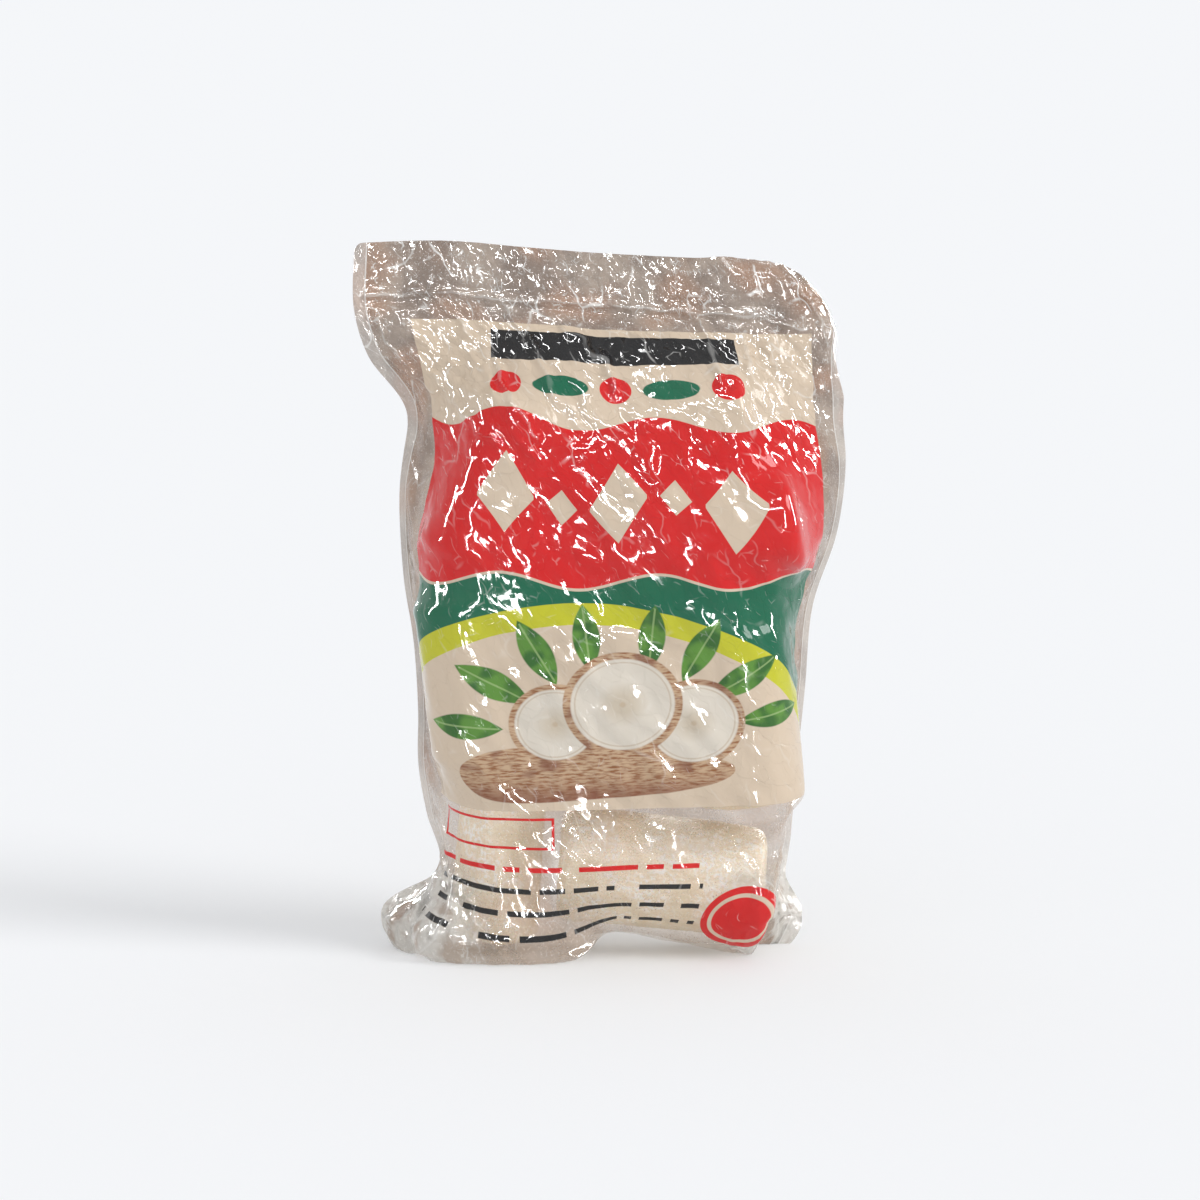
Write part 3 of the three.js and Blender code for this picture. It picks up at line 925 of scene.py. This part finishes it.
class StageSettings(bpy.types.PropertyGroup):
    """Floor, lights and camera."""

    camera_distance: metres("Camera distance", "From the bag's middle to the camera", 2.4)
    camera_height: FloatProperty(
        name="Camera angle", description="How far above level the camera stands", default=math.radians(10),
        subtype="ANGLE",
    )
    frame_width: metres("Frame width", "Width that the picture takes in at the bag", 0.504)
    floor: tint("Floor", "Colour of the floor", (0.88, 0.89, 0.905))
    ground: tint("Ground", "Paleness of what lies behind the floor", (0.922, 0.930, 0.947))
    sky: FloatProperty(name="Sky", description="Brightness of the even light all round", default=0.84)
    key: FloatProperty(name="Key light", description="Strength of the light from the right", default=1.25)
    glint: FloatProperty(name="Glint lights", description="Brightness of the small lamps", default=105.0)


# Peeled pieces

def flesh_material(settings):
    material, tree, shader = new_material("peeled flesh", IOR=1.42, Subsurface_Weight=0.12,
                                          Subsurface_Scale=0.004)
    place = tree.nodes.new("ShaderNodeTexCoord").outputs["Object"]
    scaled = vector_math(tree, "MULTIPLY", place, (1 / MM, 1 / MM, 1 / MM))[0]
    fibres = noise(tree, attribute(tree, "grain", "Vector"), 1.0, 3.0)
    damp = noise(tree, scaled, 0.05, 2.0)
    rime = noise(tree, scaled, 0.55, 4.0)
    crystals = Signal(tree, texture_node(tree, "ShaderNodeTexVoronoi", scaled, Scale=0.9)["Distance"])
    frost = (rime.ramp(0.46, 0.62) * damp.ramp(0.62, 0.42)).most(crystals.ramp(0.3, 0.15) * 0.8)
    colour = painted(tree, settings.flesh, settings.flesh_shadow, damp.ramp(0.5, 0.72) * 0.75)
    colour = painted(tree, colour, settings.flesh_shadow, fibres.ramp(0.52, 0.7) * 0.35)
    colour = painted(tree, colour, settings.frost, frost.clamped() * 0.85)
    feed(tree, shader, Base_Color=colour, Roughness=(frost.clamped() * 0.35) + 0.38)
    feed_bump(tree, shader, rime * 0.5 + fibres * 0.25 + crystals * 0.2, 0.6 * MM)
    return material


def peeled_root(node_name, settings, material):
    """One peeled piece, with knife strokes down its sides, fibrous cut ends and a coat of frost."""
    deselect()
    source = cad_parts[node_name]
    piece = bpy.data.objects.new(node_name.replace("root_piece", "peeled_root"), source.data.copy())
    bpy.context.scene.collection.objects.link(piece)
    pick(piece)
    bpy.ops.object.mode_set(mode="EDIT")
    bpy.ops.mesh.select_all(action="SELECT")
    bpy.ops.mesh.remove_doubles(threshold=0.01 * MM)
    bpy.ops.object.mode_set(mode="OBJECT")
    apply_modifier(piece, "Even net", "REMESH", mode="VOXEL", voxel_size=settings.voxel)
    apply_modifier(piece, "Soft edges", "SMOOTH", factor=0.5, iterations=2)
    apply_modifier(piece, "Fine net", "SUBSURF", levels=1, render_levels=1)
    points, normals = read_points(piece.data), read_normals(piece.data)
    centre = (points.min(0) + points.max(0)) / 2
    axis = np.linalg.svd(points - centre, full_matrices=False)[2][0]
    side = unit(np.cross(axis, [0.3, 1.0, 0.2]))
    back = np.cross(axis, side)
    along, across, deep = ((points - centre) @ way for way in (axis, side, back))
    angle = np.arctan2(deep, across)
    seed = int(node_name[-1])
    end = np.abs(normals @ axis)
    sides = 1 - smoothstep(end, 0.35, 0.75)
    strokes = np.abs(gradient_noise(angle * 1.6 + seed * 7, along / 0.055 + seed, 40 + seed))
    rings = gradient_noise(np.hypot(across, deep) / 0.0045, angle * 1.2 + 9, 60 + seed)
    rime = gradient_noise(along / 0.0035, angle * 7 + 3, 80 + seed) + gradient_noise(
        across / 0.0028, deep / 0.0028, 90 + seed
    )
    lift = settings.knife_relief * (sides * (strokes - 0.35) + (1 - sides) * 0.35 * rings)
    lift += settings.frost_relief * 0.5 * rime - 0.3 * MM
    write_points(piece.data, points + normals * lift[:, None])
    fibre = np.stack([along * 90, across * 900, deep * 900], axis=-1)
    write_attribute(piece.data, "grain", fibre)
    piece.data.materials.clear()
    piece.data.materials.append(material)
    pick(piece)
    bpy.ops.object.shade_smooth()
    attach(piece, "root")
    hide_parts(node_name)
    return piece


class CASSAVA_OT_peeled_roots(bpy.types.Operator):
    """Makes the eight peeled pieces over their solids."""

    bl_idname = "cassava.peeled_roots"
    bl_label = "Peeled Roots"

    def execute(self, context):
        settings = context.scene.cassava_root
        material = flesh_material(settings)
        for node_name in ROOT_NODES:
            peeled_root(node_name, settings, material)
        return {"FINISHED"}


# Film

def film_material(name, film, label=None):
    """Glossy clear film, misted where it is free and clear where it lies on a piece, with any print."""
    material, tree, shader = new_material(name, IOR=1.5, Specular_IOR_Level=0.38)
    uv = tree.nodes.new("ShaderNodeUVMap").outputs["UV"]
    flat = vector_math(tree, "MULTIPLY", uv, (film.flat_width / MM, film.flat_length / MM, 1))[0]
    crinkle = bpy.data.node_groups.get("film crinkle") or crinkle_group()
    marks = place_group(tree, crinkle, Vector=flat)
    crease, flecks = Signal(tree, marks["Crease"]), Signal(tree, marks["Flecks"])
    contact, slack, weld, fold, ears = (
        Signal(tree, attribute(tree, key)) for key in ("contact", "slack", "weld", "fold", "ears")
    )
    mist = noise(tree, flat, 0.045, 3.0)
    warm = noise(tree, flat, 0.03, 1.0)
    folded = noise(tree, flat, 0.11, 2.0)
    speckle = noise(tree, flat, 0.9, 2.0)
    # The long folds and the creases are painted white, partly as the film's crease whitening and partly as a
    # painted highlight
    fold_line = fold.ramp(0.66, 0.97) * mist.ramp(0.3, 0.6)
    crease_white_and_highlight = (crease * (slack * 0.75 + 0.25)).most(fold_line * 0.5)
    shown_flecks = flecks * (slack * 0.7 + 0.3)
    white = (crease_white_and_highlight * 0.8).most(shown_flecks * 0.65).most(weld * 0.3)
    white = white.most((weld - 0.5).abs().ramp(0.42, 0.1) * 0.7).clamped()
    dull = painted(tree, film.haze, film.light_haze, mist.ramp(0.4, 0.62))
    dull = painted(tree, dull, film.warm_haze, warm.ramp(0.46, 0.64) * 0.75)
    dull = painted(tree, dull, film.touching, contact * 0.85)
    dull = painted(tree, dull, film.ear_light, ears * folded.ramp(0.36, 0.5))
    # Painted shade in the lower corners' folds, laid on in random dark patches
    dull = painted(tree, dull, film.ear_fold_shade, ears * folded.ramp(0.55, 0.66) * 0.7)
    dull = painted(tree, dull, film.white, speckle.ramp(0.55, 0.8) * 0.3)
    colour = painted(tree, dull, film.white, white)
    cover = contact * (film.clear - film.misted) + film.misted
    cover = cover + speckle.ramp(0.5, 0.75) * 0.12 + mist.ramp(0.4, 0.7) * 0.12
    cover = cover.most(white * 0.9).clamped()
    path = tree.nodes.new("ShaderNodeLightPath")
    light = Signal(tree, path.outputs["Is Shadow Ray"]).most(Signal(tree, path.outputs["Is Diffuse Ray"]))
    if label:
        middle = film.flat_width / 2 + label.panel_offset
        foot = (middle / MM, label.panel_from_foot / MM, 0)
        place = vector_math(tree, "SUBTRACT", flat, foot)[0]
        print_out = place_group(tree, label_group(label), Vector=place)
        ink = Signal(tree, print_out["Ink"])
        # Painted highlight and crease whitening laid over the print along the creases
        print_with_crease_highlight = painted(tree, print_out["Color"], film.white, crease_white_and_highlight * 0.4)
        colour = painted(tree, colour, print_with_crease_highlight, ink)
        cover = cover.most(ink * 0.985)
    feed(
        tree, shader, Base_Color=colour, Alpha=cover * ((light * -film.lets_through) + 1.0),
        Roughness=(speckle * 0.05) + (white * 0.25) + 0.045,
    )
    feed_bump(tree, shader, Signal(tree, marks["Height"]) * (slack * 0.85 + 0.15), 1.0 * MM)
    return material


def crumple(mesh, face, film):
    """Moves the fine net into creased facets, deep where the film is slack and faint where it is tight."""
    points, uv = read_points(mesh), read_uv(mesh)
    flat = uv * [film.flat_width / MM, film.flat_length / MM]
    along, across = along_creases(flat)
    model = points - CENTRING
    away = np.min([support(model)[0] for support in PIECE_SUPPORTS], axis=0)
    contact = 1 - smoothstep(away, film.clearance + 0.6 * MM, film.clearance + 9 * MM)
    contact = np.maximum(contact, 0.5 * (1 - smoothstep(model[:, 2], 0.062, 0.085)))
    inward = np.minimum(uv[:, 0], 1 - uv[:, 0]) * film.flat_width
    weld = 1 - smoothstep(inward, film.weld_width - 0.6 * MM, film.weld_width + 0.2 * MM)
    free = smoothstep(inward, film.weld_width, film.weld_width + 12 * MM)
    band = smoothstep(model[:, 2], 0.262, 0.276)
    ears = (1 - smoothstep(model[:, 2], 0.026, 0.050)) * smoothstep(np.abs(model[:, 0]), 0.044, 0.064)
    contact *= 1 - 0.8 * ears
    upper = smoothstep(model[:, 2], 0.185, 0.262)
    slack = np.clip(0.24 + 0.76 * upper + 0.65 * ears - 0.1 * contact, 0, 1)
    warp = 3.5 * gradient_noise(flat[:, 0] / 17, flat[:, 1] / 17, 101)
    long_folds = 0.55 - np.abs(gradient_noise(along / 34 + 5, (across + warp) / 9, 102))
    short_folds = 0.5 - np.abs(gradient_noise((along + warp) / 13, across / 6.0, 103))
    cells = np.minimum(facets(along / 13 + warp / 9, across / 7, 104), 0.55)
    fine_cells = np.minimum(facets(along / 6.5, (across + warp) / 4.2, 105), 0.5)
    lift = 1.0 * long_folds + 0.7 * short_folds + 0.9 * (cells - 0.3) + 0.45 * (fine_cells - 0.25)
    waver = FOLD_WAVER * gradient_noise(flat[:, 0] / 8, flat[:, 1] / 8, 106)
    gap = distance_to(FRONT_FOLDS, model[:, 0] + waver, model[:, 2] + waver)
    shown = band if face > 0 else 1
    fold = shown * np.exp(-((gap / FOLD_WIDTH) ** 2))
    ridge = fold - 0.35 * shown * np.exp(-((gap / FOLD_WIDTH - 2.4) ** 2))
    ways = read_normals(mesh) * (1 - band[:, None]) - [0, 1, 0] * band[:, None]
    depth = film.crumple * slack * (free * (1 - band) + band * 0.8) * lift
    depth += film.fold_height * ridge * np.maximum(free, band)
    points = points + ways * depth[:, None]
    ripple = np.abs(gradient_noise(flat[:, 0] / 16, flat[:, 1] / 2.6, 77))
    ripple *= smoothstep(np.abs(model[:, 2] - RIPPLE_HEIGHT), 0.007, 0.002)
    points[:, 1] -= RIPPLE_DEPTH * ripple * free
    return points, {"contact": contact, "slack": slack, "weld": weld, "fold": fold, "ears": ears}


def crumple_cloth(web, face, held, flat, film):
    """Gives the web spare film and lets it buckle between its welds, as cloth."""
    points = read_points(web.data)
    along, across = along_creases(flat)
    warp = 4 * gradient_noise(flat[:, 0] / 20, flat[:, 1] / 20, 5)
    folds = gradient_noise(along / 30, (across + warp) / 8, 2 - face)
    folds += 0.5 * gradient_noise((along + warp) / 12, across / 6, 5 - face)
    start = points.copy()
    start[:, 1] += np.where(held, 0, FIRST_FOLD * folds)
    write_points(web.data, start)
    welds = web.vertex_groups.new(name="welds")
    welds.add([int(i) for i in np.flatnonzero(held)], 1.0, "REPLACE")
    spare = web.vertex_groups.new(name="spare film")
    for i, share in enumerate(smoothstep(points[:, 2], 0.16, 0.26)):
        spare.add([i], float(share), "REPLACE")
    pick(web)
    cloth = web.modifiers.new("Crumple", "CLOTH")
    settings = cloth.settings
    settings.quality = 4
    settings.mass = 0.001
    settings.tension_stiffness = settings.compression_stiffness = 15
    settings.shear_stiffness = 7.5
    settings.bending_stiffness = 3
    settings.vertex_group_mass = welds.name
    settings.vertex_group_shrink = spare.name
    settings.shrink_min = -film.slack_low
    settings.shrink_max = -film.slack
    settings.effector_weights.gravity = 0
    cloth.collision_settings.use_collision = False
    cloth.point_cache.frame_start = 1
    cloth.point_cache.frame_end = film.frames + 1
    for number in range(1, film.frames + 1):
        bpy.context.scene.frame_set(number)
    bpy.ops.object.modifier_apply(modifier=cloth.name)
    bpy.context.scene.frame_set(1)
    reach = read_points(web.data) - points
    far = np.linalg.norm(reach, axis=1, keepdims=True)
    model = points + reach * np.minimum(1, MOST_MOVED / (far + 1e-9)) - CENTRING
    model = held_back(model, face)
    for _ in range(3):
        model += push_clear(model, film.clearance * 0.75)
    model[:, 2] = np.maximum(model[:, 2], FLOOR_GAP)
    write_points(web.data, np.where(held[:, None], points, model + CENTRING))


def film_web(name, face, node_name, film, material):
    """One web of film: a flat sheet settled over the pieces, buckled as cloth and crumpled finely."""
    net, held = settled_net(face, film)
    rows, columns = net.shape[0] - 1, net.shape[1] - 1
    deselect()
    bpy.ops.mesh.primitive_grid_add(
        x_subdivisions=columns, y_subdivisions=rows, size=1, calc_uvs=True, location=(0, 0, 0),
        rotation=(0, 0, 0),
    )
    web = bpy.context.object
    web.name = name
    web.data.name = name
    flat = read_points(web.data)
    column = np.rint((flat[:, 0] + 0.5) * columns).astype(int)
    row = np.rint((flat[:, 1] + 0.5) * rows).astype(int)
    write_points(web.data, net[row, column] + CENTRING)
    if face > 0:
        web.data.flip_normals()
    held_points = held[row, column]
    size = [film.flat_width / MM / columns, film.flat_length / MM / rows]
    crumple_cloth(web, face, held_points, np.stack([column, row], axis=-1) * size, film)
    apply_modifier(web, "Fine net", "SUBSURF", levels=1, render_levels=1, boundary_smooth="PRESERVE_CORNERS")
    points, attributes = crumple(web.data, face, film)
    size = np.array([film.flat_width, film.flat_length])
    model = round_corner(points - CENTRING, read_uv(web.data) * size, film.flat_length)
    model = curl_corner(press_foot(model))
    write_points(web.data, model + CENTRING)
    for key, values in attributes.items():
        write_attribute(web.data, key, values)
    web.data.materials.append(material)
    pick(web)
    bpy.ops.object.shade_smooth()
    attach(web, "root")
    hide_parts(node_name)
    return web


class CASSAVA_OT_front_web(bpy.types.Operator):
    """Makes the printed front web over its solid."""

    bl_idname = "cassava.front_web"
    bl_label = "Printed Front Web"

    def execute(self, context):
        film, label = context.scene.cassava_film, context.scene.cassava_label
        material = film_material("printed film", film, label)
        film_web("front_web", -1, "front_film", film, material)
        return {"FINISHED"}


class CASSAVA_OT_back_web(bpy.types.Operator):
    """Makes the clear back web over its solid."""

    bl_idname = "cassava.back_web"
    bl_label = "Clear Back Web"

    def execute(self, context):
        film = context.scene.cassava_film
        material = film_material("clear film", film)
        film_web("back_web", 1, "back_film", film, material)
        return {"FINISHED"}


# Stage

LOOK_AT = Vector((-0.0006, 0.01065, 0.1485))
SENSOR_WIDTH = 36.0


# Small bright lamps that only show as glints on the film: name, place and size
GLINT_LIGHTS = (
    ("glint left", (-0.50, -1.10, 0.30), (0.05, 0.60)),
    ("glint low left", (-0.22, -1.15, 0.06), (0.22, 0.05)),
    ("glint top", (0.10, -1.00, 0.75), (0.70, 0.045)),
    ("glint high", (-0.10, -0.75, 1.15), (0.90, 0.05)),
    ("glint right", (0.55, -1.05, 0.35), (0.05, 0.60)),
    ("glint side left", (-1.10, 0.00, 0.50), (0.08, 0.60)),
    ("glint side right", (1.10, 0.10, 0.45), (0.08, 0.60)),
    ("glint back left", (-0.45, 1.10, 0.45), (0.08, 0.60)),
    ("glint back right", (0.50, 1.10, 0.35), (0.08, 0.60)),
    ("glint back top", (0.00, 1.00, 0.80), (0.70, 0.07)),
)


def glint_light(name, place, size, radiance):
    light = bpy.data.lights.new(name, "AREA")
    light.shape = "RECTANGLE"
    light.size, light.size_y = size
    light.energy = radiance * math.pi * size[0] * size[1]
    lamp = bpy.data.objects.new(name, light)
    bpy.context.scene.collection.objects.link(lamp)
    lamp.location = place
    lamp.rotation_euler = (LOOK_AT - Vector(place)).to_track_quat("-Z", "Y").to_euler()
    lamp.visible_diffuse = lamp.visible_camera = False


def make_world(scene, settings):
    """Even light all round, with the floor's own paleness behind the bag."""
    world = bpy.data.worlds.new("even light")
    world.use_nodes = True
    tree = world.node_tree
    tree.nodes.clear()
    light, ground = (tree.nodes.new("ShaderNodeBackground") for _ in range(2))
    light.inputs["Color"].default_value = (0.985, 0.99, 1.0, 1)
    light.inputs["Strength"].default_value = settings.sky
    ground.inputs["Color"].default_value = (*settings.ground, 1)
    ground.inputs["Strength"].default_value = 1.0
    seen = tree.nodes.new("ShaderNodeLightPath").outputs["Is Camera Ray"]
    mix = tree.nodes.new("ShaderNodeMixShader")
    tree.links.new(seen, mix.inputs[0])
    tree.links.new(light.outputs[0], mix.inputs[1])
    tree.links.new(ground.outputs[0], mix.inputs[2])
    tree.links.new(mix.outputs[0], tree.nodes.new("ShaderNodeOutputWorld").inputs["Surface"])
    scene.world = world


class CASSAVA_OT_stage(bpy.types.Operator):
    """Makes the pale floor, the soft lights and the camera."""

    bl_idname = "cassava.stage"
    bl_label = "Stage"

    def execute(self, context):
        settings = context.scene.cassava_stage
        deselect()
        bpy.ops.mesh.primitive_circle_add(
            vertices=96, radius=40, fill_type="NGON", location=(0, 0, 0), rotation=(0, 0, 0),
        )
        floor = context.object
        floor.name = "floor"
        material, tree, shader = new_material("pale floor", Roughness=1.0, Specular_IOR_Level=0.0)
        shader.inputs["Base Color"].default_value = (*settings.floor, 1)
        floor.data.materials.append(material)

        make_world(context.scene, settings)
        sun = bpy.data.lights.new("key", "SUN")
        sun.energy = settings.key
        sun.angle = math.radians(24)
        lamp = bpy.data.objects.new("key", sun)
        context.scene.collection.objects.link(lamp)
        lamp.rotation_euler = Vector((-0.78, 0.30, -0.52)).to_track_quat("-Z", "Y").to_euler()
        for name, place, size in GLINT_LIGHTS:
            glint_light(name, place, size, settings.glint)

        camera = bpy.data.objects.new("camera", bpy.data.cameras.new("camera"))
        context.scene.collection.objects.link(camera)
        angle = settings.camera_height
        back = Vector((0, -math.cos(angle), math.sin(angle)))
        camera.location = LOOK_AT + back * settings.camera_distance
        camera.rotation_euler = (-back).to_track_quat("-Z", "Y").to_euler()
        camera.data.sensor_width = SENSOR_WIDTH
        camera.data.lens = SENSOR_WIDTH * settings.camera_distance / settings.frame_width
        camera.data.clip_start, camera.data.clip_end = 0.02, 20
        context.scene.camera = camera
        context.scene.view_settings.view_transform = "Standard"
        return {"FINISHED"}


class CASSAVA_PT_panel(bpy.types.Panel):
    """Lists what the bag is made of."""

    bl_label = "Cassava Bag"
    bl_idname = "CASSAVA_PT_panel"
    bl_space_type = "VIEW_3D"
    bl_region_type = "UI"
    bl_category = "Cassava Bag"

    def draw(self, context):
        for operator in OPERATORS:
            self.layout.operator(operator.bl_idname)
        for name in SETTINGS:
            group = getattr(context.scene, name)
            column = self.layout.column()
            for key in group.__annotations__:
                column.prop(group, key)


OPERATORS = (CASSAVA_OT_stage, CASSAVA_OT_peeled_roots, CASSAVA_OT_front_web, CASSAVA_OT_back_web)
SETTINGS = {
    "cassava_root": RootSettings,
    "cassava_film": FilmSettings,
    "cassava_label": LabelSettings,
    "cassava_stage": StageSettings,
}


def register():
    for group in (*SETTINGS.values(), *OPERATORS, CASSAVA_PT_panel):
        bpy.utils.register_class(group)
    for name, group in SETTINGS.items():
        setattr(bpy.types.Scene, name, PointerProperty(type=group))


def unregister():
    for name in SETTINGS:
        delattr(bpy.types.Scene, name)
    for group in (CASSAVA_PT_panel, *OPERATORS, *SETTINGS.values()):
        bpy.utils.unregister_class(group)


def main():
    register()
    for operator in OPERATORS:
        group, name = operator.bl_idname.split(".")
        getattr(getattr(bpy.ops, group), name)()


if __name__ == "__main__":
    main()
